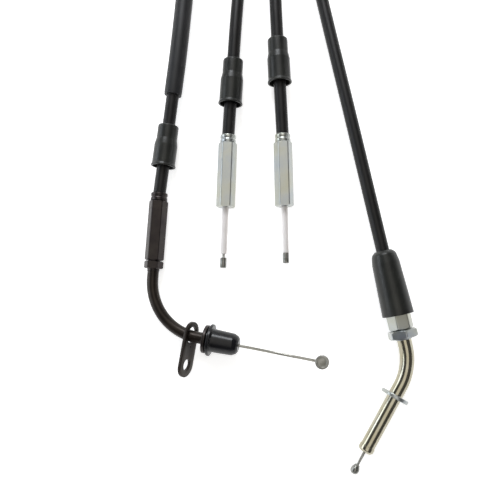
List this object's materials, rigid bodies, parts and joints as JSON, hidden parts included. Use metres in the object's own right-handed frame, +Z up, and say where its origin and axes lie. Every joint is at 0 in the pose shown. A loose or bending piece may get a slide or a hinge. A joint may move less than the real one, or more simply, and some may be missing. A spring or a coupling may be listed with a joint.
{
  "type": "throttle cable set",
  "caption": "Motorcycle throttle cable set that splits to carburettor and oil pump ends, with rubber boots, adjusters, elbow pipe and splitter.",
  "frame": {"origin": "on the table under the middle of the footprint of everything but the cords", "axes": "+Y from the cable ends to the splitter, +Z up from the table, +X towards the pump end"},
  "size_m": [0.1365, 0.5444, 0.022],
  "materials": {
    "black_pvc": "satin extruded black PVC",
    "sleeve_pvc": "satin black guard sleeve",
    "black_rubber": "moulded black rubber",
    "zinc_plate": "bright zinc plate, faint tint",
    "olive_plate": "olive passivated plate",
    "black_plate": "black zinc plate, satin",
    "brown_black_plate": "black plate with a brown cast",
    "gloss_black": "glossy black moulding",
    "white_nylon": "translucent white nylon",
    "steel_wire": "stranded steel wire",
    "cast_zinc": "cast zinc end",
    "splitter_black": "moulded black nylon",
    "ferrule_steel": "black plated steel ferrules"
  },
  "bodies": {
    "cable_set": {"grip_casing": "black_pvc", "grip_sleeve": "sleeve_pvc", "left_casing": "black_pvc", "right_casing": "black_pvc", "pump_casing": "black_pvc", "grip_collar": "black_plate", "pump_collar": "zinc_plate", "left_carb_collar": "zinc_plate", "right_carb_collar": "zinc_plate", "left_carb_liner": "white_nylon", "right_carb_liner": "white_nylon", "splitter_barrel": "splitter_black", "splitter_branch_cap": "splitter_black", "splitter_main_cap": "splitter_black", "splitter_branch_ferrules": "ferrule_steel", "splitter_main_ferrule": "ferrule_steel"},
    "left_hex": {"left_carb_hex": "zinc_plate"},
    "right_hex": {"right_carb_hex": "zinc_plate"},
    "left_inner_wire": {"left_carb_wire": "steel_wire", "left_carb_nipple": "cast_zinc"},
    "right_inner_wire": {"right_carb_wire": "steel_wire", "right_carb_nipple": "cast_zinc"},
    "left_boot": {"left_carb_boot": "black_rubber"},
    "right_boot": {"right_carb_boot": "black_rubber"},
    "grip_boot": {"grip_boot": "black_rubber"},
    "pump_boot": {"pump_boot": "black_rubber"},
    "grip_adjuster": {"grip_adjuster": "black_plate"},
    "elbow": {"elbow_stem": "black_plate", "elbow_pipe": "brown_black_plate", "elbow_ring": "black_plate", "grip_bush": "gloss_black"},
    "grip_lock_nut": {"grip_lock_nut": "black_plate"},
    "retaining_plate": {"retaining_plate": "brown_black_plate"},
    "grip_inner_wire": {"grip_wire": "steel_wire", "grip_barrel": "cast_zinc"},
    "pump_adjuster": {"pump_adjuster": "zinc_plate"},
    "pump_elbow": {"pump_stem": "zinc_plate", "pump_pipe": "olive_plate", "pump_washer": "zinc_plate", "pump_end_collar": "olive_plate"},
    "pump_lock_nut": {"pump_lock_nut": "zinc_plate"},
    "pump_inner_wire": {"pump_wire": "steel_wire", "pump_nipple": "cast_zinc"},
    "splitter_slider": {"splitter_slider": "white_nylon", "slider_nipples": "cast_zinc", "splitter_main_wire": "steel_wire", "splitter_branch_wires": "steel_wire"}
  },
  "joints": [
    {"name": "throttle_return", "type": "slide", "parent": "elbow", "child": "grip_inner_wire", "axis": [0.9714, -0.1818, 0.153], "range_m": [-0.022, 0]},
    {"name": "splitter_slide", "type": "slide", "parent": "cable_set", "child": "splitter_slider", "axis": [0, 1, 0], "range_m": [-0.022, 0]},
    {"name": "pump_wire_slide", "type": "slide", "parent": "pump_elbow", "child": "pump_inner_wire", "axis": [-0.4997, -0.8655, -0.0332], "range_m": [0, 0.022]},
    {"name": "grip_adjuster_turn", "type": "hinge", "parent": "cable_set", "child": "grip_adjuster", "pos_m": [-0.05615, -0.1088, 0.00546], "axis": [-0.0662, -0.997, -0.0407], "range_deg": [0, 1800]},
    {"name": "grip_adjuster_extend", "type": "slide", "parent": "cable_set", "child": "elbow", "axis": [-0.0662, -0.997, -0.0407], "range_m": [0, 0.005]},
    {"name": "grip_lock_nut_turn", "type": "hinge", "parent": "elbow", "child": "grip_lock_nut", "pos_m": [-0.05615, -0.1088, 0.00546], "axis": [-0.0662, -0.997, -0.0407], "continuous": true},
    {"name": "retaining_plate_swivel", "type": "hinge", "parent": "elbow", "child": "retaining_plate", "pos_m": [-0.04051, -0.17542, 0.00602], "axis": [0.9714, -0.1818, 0.153], "continuous": true},
    {"name": "pump_adjuster_turn", "type": "hinge", "parent": "cable_set", "child": "pump_adjuster", "pos_m": [0.0496, -0.1449, 0.00735], "axis": [0.2062, -0.9785, -0.0087], "range_deg": [0, 1800]},
    {"name": "pump_adjuster_extend", "type": "slide", "parent": "cable_set", "child": "pump_elbow", "axis": [0.2062, -0.9785, -0.0087], "range_m": [0, 0.005]},
    {"name": "pump_lock_nut_turn", "type": "hinge", "parent": "pump_elbow", "child": "pump_lock_nut", "pos_m": [0.0496, -0.1449, 0.00735], "axis": [0.2062, -0.9785, -0.0087], "continuous": true},
    {"name": "grip_boot_slide", "type": "slide", "parent": "cable_set", "child": "grip_boot", "axis": [-0.12, -0.9919, -0.0407], "range_m": [0, 0.016]},
    {"name": "pump_boot_slide", "type": "slide", "parent": "cable_set", "child": "pump_boot", "axis": [-0.2062, 0.9785, 0.0087], "range_m": [0, 0.022]},
    {"name": "left_wire_slide", "type": "slide", "parent": "cable_set", "child": "left_inner_wire", "axis": [-0.0349, -0.9987, -0.0366], "range_m": [0, 0.022]},
    {"name": "left_hex_swivel", "type": "hinge", "parent": "cable_set", "child": "left_hex", "pos_m": [-0.0239, -0.0806, 0.0053], "axis": [-0.0349, -0.9987, -0.0366], "continuous": true},
    {"name": "left_boot_slide", "type": "slide", "parent": "cable_set", "child": "left_boot", "axis": [-0.0627, -0.9974, -0.0366], "range_m": [0, 0.021]},
    {"name": "right_wire_slide", "type": "slide", "parent": "cable_set", "child": "right_inner_wire", "axis": [0.0209, -0.9993, -0.0305], "range_m": [0, 0.022]},
    {"name": "right_hex_swivel", "type": "hinge", "parent": "cable_set", "child": "right_hex", "pos_m": [0.00205, -0.0801, 0.00508], "axis": [0.0209, -0.9993, -0.0305], "continuous": true},
    {"name": "right_boot_slide", "type": "slide", "parent": "cable_set", "child": "right_boot", "axis": [0.0467, -0.9984, -0.0305], "range_m": [0, 0.031]}
  ],
  "couplings": [
    {"joint": "splitter_slide", "follows": "throttle_return", "ratio": 1},
    {"joint": "left_wire_slide", "follows": "throttle_return", "ratio": -1},
    {"joint": "right_wire_slide", "follows": "throttle_return", "ratio": -1},
    {"joint": "pump_wire_slide", "follows": "throttle_return", "ratio": -1},
    {"joint": "grip_adjuster_turn", "follows": "grip_adjuster_extend", "rad_per_m": 6283.2},
    {"joint": "pump_adjuster_turn", "follows": "pump_adjuster_extend", "rad_per_m": 6283.2}
  ]
}
